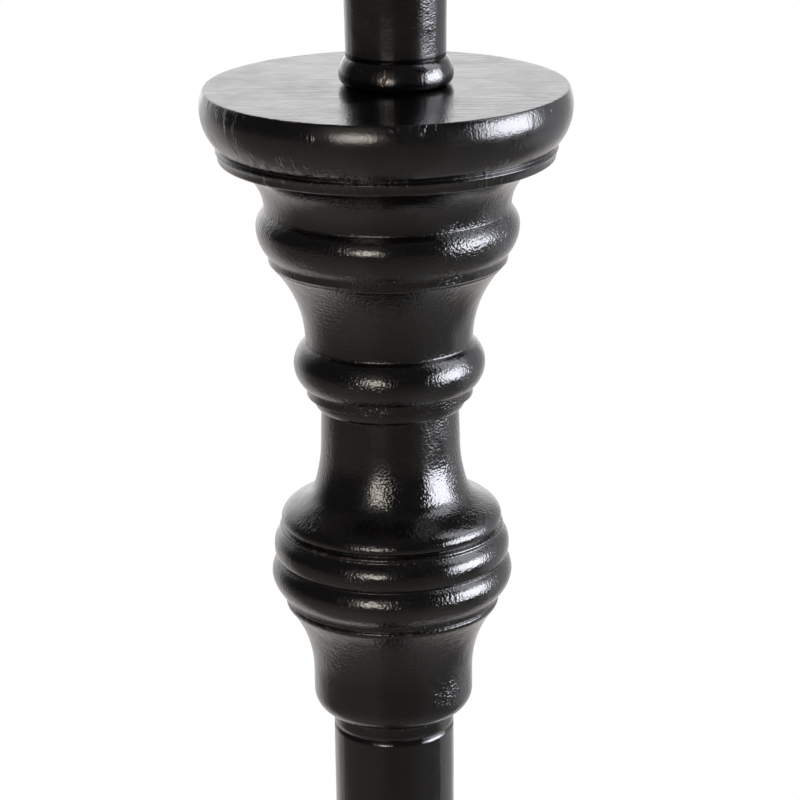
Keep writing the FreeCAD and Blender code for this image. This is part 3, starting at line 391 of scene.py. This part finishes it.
def thread_metal():
    """Rolled aluminium screw cap, with black glass round its contact."""
    look, material = new_look("bulb_cap")
    level = look.add("SeparateXYZ", {0: look.place()}).outputs["Z"]
    cap_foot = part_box("bulb_base")[0].z
    metal_part = look.spread(level, *(cap_foot + rise for rise in GLASS_EDGE))
    streaks = look.noise(1.0, 3, 0.6, look.place((60, 60, 3000)))
    colour = look.mix(metal_part, grey(0.012), look.mix(streaks, grey(0.60), grey(0.78)))
    rough = look.spread(streaks, 0.3, 0.7, 0.22, 0.34)
    shader = look.surface(colour, rough, look.bump(streaks, 0.01 * MM))
    look.tree.links.new(metal_part, shader.node.inputs["Metallic"])
    return material


LINEN_PALE = (0.80, 0.75, 0.64, 1.0)
LINEN_DEEP = (0.60, 0.53, 0.41, 1.0)
YARN = 0.55 * MM                # from one thread of the weave to the next


def linen(name, pale=LINEN_PALE, deep=LINEN_DEEP):
    """Plain-woven linen with slubs; its threads follow the flat cut stored on the mesh."""
    look, material = new_look(name)
    across, along = look.stored("cut_across"), look.stored("cut_along")
    cut = look.add("CombineXYZ", {0: across, 1: along, 2: 0.0}).outputs[0]

    def threads(scale, detail, roughness):
        stretched = look.add("VectorMath", {0: cut, 1: scale}, operation="MULTIPLY").outputs[0]
        return look.noise(1.0, detail, roughness, stretched)

    pitch = math.pi / YARN
    warp = look.math("ABSOLUTE", look.math("SINE", look.math("MULTIPLY", across, pitch)))
    weft = look.math("ABSOLUTE", look.math("SINE", look.math("MULTIPLY", along, pitch)))
    weave = look.math("MULTIPLY", look.math("ADD", warp, weft), 0.5)
    thin = look.math("ADD", threads((1500, 45, 1), 2, 0.5), threads((45, 1500, 1), 2, 0.5))
    slubs = look.math("MAXIMUM", threads((420, 11, 1), 3, 0.6), threads((11, 420, 1), 3, 0.6))
    shade = look.math("ADD", look.spread(thin, 0.75, 1.25, 0.0, 0.55),
                      look.spread(slubs, 0.55, 0.72, 0.0, 0.45))
    # the gaps between the threads are painted darker: painted shade in the weave
    shade = look.math("MULTIPLY", shade, look.spread(weave, 0.0, 0.8, 1.25, 0.85), clamp=True)
    normal = look.bump(slubs, 0.25 * MM, look.bump(look.math("ADD", weave, thin), 0.12 * MM))
    look.surface(look.mix(shade, pale, deep), 0.88, normal,
                 **{"Sheen Weight": 0.25, "Sheen Roughness": 0.4, "Specular IOR Level": 0.25})
    return material


def lining():
    """White laminate inside the shade, faintly mottled by the cloth behind it."""
    look, material = new_look("shade_lining")
    mottle = look.noise(240, 3, 0.6)
    colour = look.mix(mottle, (0.80, 0.79, 0.75, 1), (0.88, 0.87, 0.84, 1))
    look.surface(colour, look.spread(mottle, 0.3, 0.7, 0.42, 0.55), look.bump(mottle, 0.04 * MM))
    return material


# ---------------------------------------------------------------------------------------------
# Relief of the turned wood
# ---------------------------------------------------------------------------------------------

def uneven(place, bend):
    """Hand turning is never quite true."""
    return 0.10 * MM * noise.noise(place * 38) + 0.035 * MM * noise.noise(place * 150)


CRACK_ANGLE = math.radians(-11.8)       # from the front
CRACK_FOOT = 3.0 * MM                   # above the ring's foot
CRACK_HEAD = 8.2 * MM                   # above the ring's foot
CRACK_FOOT_TAPER = 1.0 * MM
CRACK_HEAD_TAPER = 2.0 * MM
CRACK_HALF = 0.6 * MM                   # half its width
CRACK_NARROWEST = 0.55                  # of its width, at the tips
CRACK_DEPTH = 0.6 * MM
CRACK_BARE = 1.6                        # how much wider than open the bare wood shows


def crack_share(place, foot):
    """How far the ring's crack is open at a place, from 0 to 1."""
    up = place.z - foot
    wander = 0.9 * MM * noise.noise(Vector((0, 3, up * 420)))
    wander += 0.25 * MM * noise.noise(Vector((7, 0, up * 2100)))
    around = (math.atan2(place.x, -place.y) - CRACK_ANGLE) * math.hypot(place.x, place.y) - wander
    length = ramp(up - CRACK_FOOT, CRACK_FOOT_TAPER) * ramp(CRACK_HEAD - up, CRACK_HEAD_TAPER)
    half = CRACK_HALF * (CRACK_NARROWEST + (1 - CRACK_NARROWEST) * length)
    return max(0.0, 1.0 - abs(around) / half) * length


# ---------------------------------------------------------------------------------------------
# The stem
# ---------------------------------------------------------------------------------------------

PIPE_HOLE = 6.0 * MM            # bore of the wooden pieces, hidden by the lamp pipe
CANDLE_BORE = 11.5 * MM         # wider, because the candle's pieces stand off the pipe's axis
SPIGOT_ROOM = 13.0 * MM         # the stem's joints lie inside this radius
WEIGHT_ROOM = 110.0 * MM        # the weight's recess lies inside this radius

upright = lacquer("lacquer_upright", (620, 620, 16), 0.035 * MM, 0.02 * MM, orange_peel=0.3)
turned = lacquer("lacquer_turned", (520, 520, 60), 0.02 * MM, 0.10 * MM)
board = lacquer("lacquer_board", (14, 600, 600), 0.085 * MM, 0.0, gloss=0.18, orange_peel=0.35,
                plank=True)


def turned_piece(node, material, segments, longest, inside=SPIGOT_ROOM, axis=(0.0, 0.0), bore=PIPE_HOLE,
                 relief=uneven):
    """Finished skin over one turned CAD node."""
    rows = rows_of(softened(curved(outline(node, inside, axis))), longest)
    return lathe("turned_" + node, rows, bore, segments, material, relief, axis, replaced=[node])


# Shoulder and beads of the capital as their highlights show them: radius and drop below the pan's
# underside, in millimetres
SHOULDER = [(38.0, 157.7), (40.5, 155.0), (41.9, 152.4), (42.5, 149.8), (42.2, 147.3), (41.3, 145.2),
            (40.1, 144.1), (41.1, 142.4), (41.5, 140.4), (41.5, 138.9), (41.2, 137.0), (40.4, 135.3),
            (39.2, 134.1), (38.7, 133.4), (39.5, 132.9), (39.4, 132.0), (37.6, 131.4), (38.5, 130.7),
            (38.8, 129.6), (38.6, 128.2), (37.8, 126.7), (36.2, 125.2), (33.8, 123.8), (31.2, 122.4),
            (29.0, 120.8), (27.5, 118.8), (26.5, 116.2), (25.7, 113.0), (25.0, 109.4), (24.6, 106.0),
            (24.45, 103.2), (24.3, 97.0), (24.05, 88.5)]
SHOULDER_CORNER = math.radians(48)
SHOULDER_GAP = 0.1 * MM         # least room between its last point and the CAD outline above


def capital():
    """The capital: the CAD outline, with the shoulder and the beads under it redrawn."""
    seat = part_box("drip_pan")[0].z
    drawn = [(radius * MM, seat - drop * MM) for radius, drop in SHOULDER]
    points = outline("capital_spindle", SPIGOT_ROOM)
    below = [point for point in points if point[1] < drawn[0][1]]
    above = [point for point in points if point[1] > drawn[-1][1] + SHOULDER_GAP]
    middle = [tuple(point) for point in curved(drawn, SHOULDER_CORNER)]
    rows = rows_of(softened(curved(below + middle + above)), 1.2 * MM)
    lathe("turned_capital_spindle", rows, PIPE_HOLE, 340, turned, uneven, replaced=["capital_spindle"])


def pan():
    """The drip pan, with rows across its flat top."""
    points = outline("drip_pan", SPIGOT_ROOM)
    points.append((PIPE_HOLE + MM, points[-1][1]))
    rows = rows_of(softened(curved(points)), 0.9 * MM)
    lathe("turned_drip_pan", rows, PIPE_HOLE, 420, board, uneven, replaced=["drip_pan"])


turned_piece("base_foot", upright, 300, 2.5 * MM, inside=WEIGHT_ROOM)
turned_piece("base_plinth", upright, 260, 2.5 * MM)
turned_piece("lower_baluster", turned, 220, 2 * MM)
turned_piece("lower_pole", upright, 180, 6 * MM)
turned_piece("mid_knop", turned, 200, 1.5 * MM)
turned_piece("upper_pole", upright, 180, 4 * MM)
capital()
pan()


def middle_of(node):
    """The upright axis of a node."""
    low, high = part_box(node)
    return (low.x + high.x) / 2, (low.y + high.y) / 2


def candle(node, segments, longest, relief=uneven):
    """A piece of the candle, which stands off the lamp's axis."""
    return turned_piece(node, upright, segments, longest, axis=middle_of(node), bore=CANDLE_BORE,
                        relief=relief)


def candle_ring():
    """The ring under the candle tube, with the crack in its front."""
    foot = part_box("candle_ring")[0].z

    def cracked(place, bend):
        return uneven(place, bend) - CRACK_DEPTH * crack_share(place, foot)

    ring = candle("candle_ring", 900, 0.35 * MM, cracked)
    middle = Vector((*middle_of("candle_ring"), 0))
    open_shares = [crack_share(vertex.co - middle, foot) for vertex in ring.data.vertices]
    store(ring, "crack", [min(1.0, CRACK_BARE * share) for share in open_shares])


candle_ring()
candle("candle_tube", 300, 1.5 * MM)

# ---------------------------------------------------------------------------------------------
# The bulb's cap
# ---------------------------------------------------------------------------------------------

THREAD_PITCH = 3.6 * MM
THREAD_DEPTH = 0.75 * MM
THREAD_FOOT = 4 * MM            # above the cap's foot
THREAD_HEAD = 5 * MM            # below the cap's head
THREAD_FADE = 2 * MM            # height over which the thread deepens


def bulb_cap():
    """Screw cap with its rolled thread, cut into the plain CAD cap."""
    low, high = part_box("bulb_base")

    def thread(place, bend):
        turns = (place.z - low.z) / THREAD_PITCH - math.atan2(place.y, place.x) / (2 * math.pi)
        into = ramp(place.z - low.z - THREAD_FOOT, THREAD_FADE)
        into *= ramp(high.z - THREAD_HEAD - place.z, THREAD_FADE)
        return -THREAD_DEPTH * into * (0.5 + 0.5 * math.cos(2 * math.pi * turns))

    rows = rows_of(softened(curved(outline("bulb_base", 0.5 * MM))), 0.3 * MM)
    lathe("bulb_cap", rows, None, 96, thread_metal(), thread, body="bulb", replaced=["bulb_base"])


bulb_cap()

# ---------------------------------------------------------------------------------------------
# The shade
# ---------------------------------------------------------------------------------------------

SHADE_ROOM = 100 * MM           # the shade's wall lies outside this radius
WALL = 1.2 * MM                 # cloth and lining together
LAP = 9 * MM                    # glued seam at the back
LAP_RAMP = 14 * MM              # length over which the outer end climbs onto the inner one
LAP_LIFT = WALL * 1.02          # how far it climbs
RIPPLE = 0.12 * MM              # unevenness of the wall
RIPPLES = 22                    # how many of them to the metre
STEPS_ROUND = 420               # faces of the wall, round it and up it
STEPS_UP = 48
TAPE = 11 * MM                  # the binding's width on the shade
TAPE_THICK = 0.5 * MM
TAPE_FOLD = TAPE_THICK * 0.4    # bevel of its fold round the edge
TAPE_PRESS = 0.02 * MM          # how far it is pressed into the wall
TAPE_SIDES = 360


def tape(name, radius, level, up, lean, material):
    """A tape folded over an edge of the shade; up is 1 at the foot and -1 at the head."""
    section = []
    for out, rise in ((TAPE_THICK + WALL, TAPE), (TAPE_THICK + WALL, -TAPE_FOLD),
                      (TAPE_FOLD + WALL, -TAPE_THICK), (-WALL - TAPE_FOLD, -TAPE_THICK),
                      (-WALL - TAPE_THICK, -TAPE_FOLD), (-WALL - TAPE_THICK, TAPE),
                      (-WALL, TAPE), (-WALL, 0.0), (WALL, 0.0), (WALL, TAPE)):
        pressed = out - math.copysign(TAPE_PRESS, out)
        section.append((radius - rise * up * lean + pressed, level + rise * up))
    if up < 0:
        section.reverse()
    count = len(section)
    steps = [2 * math.pi * step / TAPE_SIDES for step in range(TAPE_SIDES)]
    points = [(r * math.sin(angle), -r * math.cos(angle), z) for r, z in section for angle in steps]
    skins = []
    for row in range(count):
        low, high = row * TAPE_SIDES, (row + 1) % count * TAPE_SIDES
        for step in range(TAPE_SIDES):
            after = (step + 1) % TAPE_SIDES
            skins.append((low + step, low + after, high + after, high + step))
    piece = new_piece(name, points, skins, material, "shade", smooth=False)
    store(piece, "cut_across", [radius * angle for _ in section for angle in steps])
    store(piece, "cut_along", [z for _, _, z in points])
    return piece


def shade():
    """The shade: one flat cut rolled to a cone and lapped at the back, bound at both edges."""
    (foot_radius, foot), *_, (head_radius, head) = outline("shade_fabric", SHADE_ROOM)
    slant = math.hypot(foot_radius - head_radius, head - foot)
    cut_radius = slant * foot_radius / (foot_radius - head_radius)      # of the flat cut's outer edge
    opening = 2 * math.pi * foot_radius / cut_radius                    # angle of the flat cut
    extra = LAP / cut_radius
    vertices, across_cut, along_cut = [], [], []
    for face in (0, 1):                                                 # outside, inside
        for row in range(STEPS_UP + 1):
            share = row / STEPS_UP
            radius = foot_radius + (head_radius - foot_radius) * share - WALL * face
            level = foot + (head - foot) * share
            reach = cut_radius - slant * share
            for step in range(STEPS_ROUND + 1):
                spread = (opening + extra) * step / STEPS_ROUND
                left = (opening + extra - spread) * cut_radius
                climb = ramp(LAP + LAP_RAMP - left, LAP_RAMP)
                climb = climb * climb * (3 - 2 * climb)
                angle = spread / opening * 2 * math.pi + math.pi - LAP / 2 / foot_radius
                across, back = math.sin(angle), -math.cos(angle)
                here = Vector((across, back, 0)) * radius
                ripple = RIPPLE * noise.noise((here + Vector((0, 0, level))) * RIPPLES)
                out = LAP_LIFT * climb + ripple
                vertices.append(((radius + out) * across, (radius + out) * back, level))
                across_cut.append(reach * math.sin(spread - opening / 2))
                along_cut.append(reach * math.cos(spread - opening / 2))
    wide = STEPS_ROUND + 1
    layer = (STEPS_UP + 1) * wide
    faces, inner = [], []
    for row in range(STEPS_UP):
        for step in range(STEPS_ROUND):
            a = row * wide + step
            faces.append((a, a + 1, a + wide + 1, a + wide))
            inner.append(tuple(layer + i for i in (a, a + wide, a + wide + 1, a + 1)))
    edges = []
    for step in range(STEPS_ROUND):
        top = STEPS_UP * wide + step
        edges.append((step, layer + step, layer + step + 1, step + 1))
        edges.append((top, top + 1, layer + top + 1, layer + top))
    for row in range(STEPS_UP):
        a, b = row * wide, row * wide + STEPS_ROUND
        edges.append((a, a + wide, layer + a + wide, layer + a))
        edges.append((b, layer + b, layer + b + wide, b + wide))
    cloth = new_piece("shade_cloth", vertices, faces + edges + inner, linen("shade_linen"), "shade",
                      ["shade_fabric"])
    cloth.data.materials.append(lining())
    for polygon in cloth.data.polygons:
        if polygon.index >= len(faces) + len(edges):
            polygon.material_index = 1
        elif polygon.index >= len(faces):
            polygon.use_smooth = False
    store(cloth, "cut_across", across_cut)
    store(cloth, "cut_along", along_cut)
    tape_look = linen("shade_tape", (0.74, 0.69, 0.58, 1), (0.52, 0.46, 0.36, 1))
    lean = (foot_radius - head_radius) / (head - foot)
    tapes = [tape("shade_tape_foot", foot_radius, foot, 1, lean, tape_look),
             tape("shade_tape_head", head_radius, head, -1, lean, tape_look)]
    return [cloth, *tapes]


for piece in shade():
    piece.visible_glossy = False

# ---------------------------------------------------------------------------------------------
# Finishes of the CAD solids that stay as they are
# ---------------------------------------------------------------------------------------------

METALS = {      # colour, stain, roughness, how its marks are stretched and how deep they are
    "brass": ((0.60, 0.43, 0.19, 1), (0.42, 0.27, 0.11, 1), 0.27, (40, 40, 1400), 0.006 * MM),
    "zinc_steel": ((0.56, 0.57, 0.57, 1), (0.40, 0.40, 0.38, 1), 0.36, (300, 300, 300), 0.01 * MM),
    "aluminium": (grey(0.74), grey(0.60), 0.30, (30, 30, 1800), 0.006 * MM),
}
MOULDED = {     # colour, fleck, roughness, how fine its texture is and how deep
    "cast_iron": ((0.085, 0.083, 0.082, 1), (0.14, 0.12, 0.10, 1), 0.72, 700, 0.35 * MM),
    "black_plastic": (grey(0.016), grey(0.024), 0.40, 2200, 0.02 * MM),
    "phenolic": ((0.045, 0.034, 0.028, 1), (0.070, 0.055, 0.045, 1), 0.45, 1500, 0.02 * MM),
    "liner_card": ((0.40, 0.31, 0.19, 1), (0.31, 0.23, 0.14, 1), 0.85, 1800, 0.05 * MM),
}
slots = [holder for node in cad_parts.values() for holder in node.material_slots]
cad_names = [holder.material.name.split(".")[0] for holder in slots]
finishes = {name: metal(name, *recipe) for name, recipe in METALS.items()}
finishes.update((name, moulded(name, *recipe)) for name, recipe in MOULDED.items())
finishes.update(felt=felt(), opal_glass=opal_glass())
for holder, name in zip(slots, cad_names):
    holder.material = finishes.get(name, holder.material)

# ---------------------------------------------------------------------------------------------
# Room, light and camera
# ---------------------------------------------------------------------------------------------

PAN_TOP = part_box("drip_pan")[1].z

# Patches of light that gloss sees in the dark studio, each laid over the ones before it. Each has
# the angles round about, and then up, where its soft edge starts, is full, is still full and ends.
PATCHES = [
    ((92, 108, 140, 158), (-40, -25, 22, 34), (0.62, 0.61, 0.64, 1)),       # pale wall, right
    ((66, 84, 104, 120), (14, 26, 50, 66), (2.6, 2.65, 2.85, 1)),           # glow over the large light
    ((55, 68, 94, 107), (-12, -8, 15, 24), (10.5, 10.7, 11.6, 1)),          # large light
    ((-50, -30, -12, 0), (-8, 4, 24, 50), (0.36, 0.33, 0.30, 1)),           # halo of the small light
    ((-34, -23, -13, -4), (-6, 0, 8, 17), (6.2, 5.7, 5.1, 1)),              # small light
]
BACK_FROM = 8.0                 # the bright back of the room is measured from here, in degrees


def studio(look, way):
    """What gloss sees: a dark room with a bright back, and patches of light."""
    turn = look.math("ARCTAN2", way["X"], look.math("MULTIPLY", way["Y"], -1.0))
    round_about = look.math("MULTIPLY", turn, 180 / math.pi)            # 0 in front, 90 at +X
    height = look.math("MULTIPLY", look.math("ARCSINE", way["Z"]), 180 / math.pi)
    apart = look.math("ABSOLUTE", look.math("SUBTRACT", round_about, BACK_FROM))

    # The ground is warmer on the left, darker straight down and bright at the back
    ground = look.mix(look.spread(round_about, -34, -8), (0.27, 0.235, 0.21, 1), (0.19, 0.162, 0.142, 1))
    ground = look.mix(look.spread(round_about, 24, 60), ground, (0.25, 0.24, 0.235, 1))
    ground = look.mix(look.spread(height, -18, -55), look.mix(0.35, ground, grey(0.0)), ground)
    ground = look.mix(look.spread(apart, 112, 150), ground, (0.95, 0.91, 0.89, 1))

    # Above the horizon it is dark, but for the backdrop
    above = look.mix(look.spread(height, 30, 75), (0.045, 0.042, 0.045, 1), (0.06, 0.055, 0.06, 1))
    backdrop = look.math("MULTIPLY", look.spread(apart, 118, 170), look.spread(height, 38, 24))
    above = look.mix(backdrop, above, (1.70, 1.68, 1.70, 1))
    seen = look.mix(look.spread(height, -15, -5), ground, above)

    for across, up, colour in PATCHES:
        shares = []
        for value, (start, full, still, end) in ((round_about, across), (height, up)):
            rising, falling = look.spread(value, start, full), look.spread(value, end, still)
            shares.append(look.math("MULTIPLY", rising, falling))
        seen = look.mix(look.math("MULTIPLY", *shares), seen, colour)
    return seen


def room():
    """White backdrop for the camera, a plain level of light, and the studio that gloss reflects."""
    world = bpy.data.worlds.new("studio")
    bpy.context.scene.world = world
    world.cycles.sampling_method = "NONE"
    look = Look(world, "ShaderNodeOutputWorld")
    way = look.add("SeparateXYZ", {0: look.add("TexCoord").outputs["Generated"]}).outputs
    plain = look.mix(look.spread(way["Z"], -0.3, 0.8), grey(0.35), grey(0.95))
    paths = look.add("LightPath").outputs
    colour = look.mix(paths["Is Glossy Ray"], plain, studio(look, way))
    colour = look.mix(paths["Is Camera Ray"], colour, grey(1.0))
    background = look.add("Background", {"Color": colour, "Strength": 1.0})
    look.tree.links.new(background.outputs[0], look.output.inputs["Surface"])


FLOOR_RADIUS = 1.6
FLOOR_SIDES = 128
FLOOR_FADE = (0.8, 1.5)         # it turns white between these distances


def floor():
    """Pale floor that fades into the white backdrop."""
    angles = [2 * math.pi * step / FLOOR_SIDES for step in range(FLOOR_SIDES)]
    ring = [(FLOOR_RADIUS * math.cos(angle), FLOOR_RADIUS * math.sin(angle), 0.0) for angle in angles]
    mesh = bpy.data.meshes.new("floor")
    mesh.from_pydata(ring, [], [tuple(range(FLOOR_SIDES))])
    ground = bpy.data.objects.new("floor", mesh)
    bpy.context.scene.collection.objects.link(ground)
    look, material = new_look("floor_paint")
    diffuse = look.add("BsdfDiffuse", {"Color": (0.84, 0.82, 0.79, 1)}).outputs[0]
    glow = look.add("Emission", {"Color": grey(1.0)}).outputs[0]
    away = look.add("VectorMath", {0: look.place()}, operation="LENGTH").outputs["Value"]
    fade = look.add("MixShader", {0: look.spread(away, *FLOOR_FADE), 1: diffuse, 2: glow}).outputs[0]
    clear = look.add("BsdfTransparent").outputs[0]
    gloss = look.add("LightPath").outputs["Is Glossy Ray"]
    shown = look.add("MixShader", {0: gloss, 1: fade, 2: clear}).outputs[0]
    look.tree.links.new(shown, look.output.inputs["Surface"])
    mesh.materials.append(material)


LIGHT_DISTANCE = 2.4
LIGHT_AIM = Vector((0, 0, PAN_TOP - 0.08))      # in the capital


def softbox(name, azimuth, elevation, wide, tall, radiance, colour):
    """A rectangular light that faces the capital, with its place and size as angles from there.

    Azimuth 0 is the front, and 90 is +X. Gloss sees the world's soft-edged lamps instead of it.
    """
    a, e = math.radians(azimuth), math.radians(elevation)
    away = Vector((math.sin(a) * math.cos(e), -math.cos(a) * math.cos(e), math.sin(e)))
    light = bpy.data.lights.new(name, "AREA")
    light.shape = "RECTANGLE"
    light.size, light.size_y = (2 * LIGHT_DISTANCE * math.tan(math.radians(angle / 2))
                                for angle in (wide, tall))
    light.energy = math.pi * light.size * light.size_y * radiance
    light.color = colour
    box = bpy.data.objects.new(name, light)
    box.location = LIGHT_AIM + away * LIGHT_DISTANCE
    box.rotation_mode = "QUATERNION"
    box.rotation_quaternion = away.to_track_quat("Z", "Y")
    box.visible_camera = False
    box.visible_glossy = False
    bpy.context.scene.collection.objects.link(box)


CAMERA_PLACE = (0.0035, -0.9574, PAN_TOP + 0.2012)
CAMERA_PITCH = math.radians(18.097)
CAMERA_ROLL = math.radians(-0.667)
FOCAL, PICTURE_SIDE = 2883.5, 800       # pixels


def camera():
    """The photograph's view."""
    right = Vector((1, 0, 0))
    up = Vector((0, math.sin(CAMERA_PITCH), math.cos(CAMERA_PITCH)))
    forward = Vector((0, math.cos(CAMERA_PITCH), -math.sin(CAMERA_PITCH)))
    lens = bpy.data.cameras.new("camera")
    lens.sensor_width = 36.0
    lens.lens = FOCAL / PICTURE_SIDE * lens.sensor_width
    lens.clip_start, lens.clip_end = 0.01, 100
    view = bpy.data.objects.new("camera", lens)
    across = right * math.cos(CAMERA_ROLL) + up * math.sin(CAMERA_ROLL)
    upward = up * math.cos(CAMERA_ROLL) - right * math.sin(CAMERA_ROLL)
    turn = Matrix((across, upward, -forward)).transposed()
    view.matrix_world = Matrix.Translation(CAMERA_PLACE) @ turn.to_4x4()
    bpy.context.scene.collection.objects.link(view)
    bpy.context.scene.camera = view


room()
floor()
softbox("window", 82, 13, 62, 56, 2.4, (0.93, 0.95, 1.0))
softbox("lamp", -19, 10, 28, 38, 3.0, (1.0, 0.96, 0.90))
softbox("fill", -70, 20, 40, 40, 0.8, (1.0, 0.98, 0.95))
camera()

bpy.context.scene.view_settings.view_transform = "Standard"
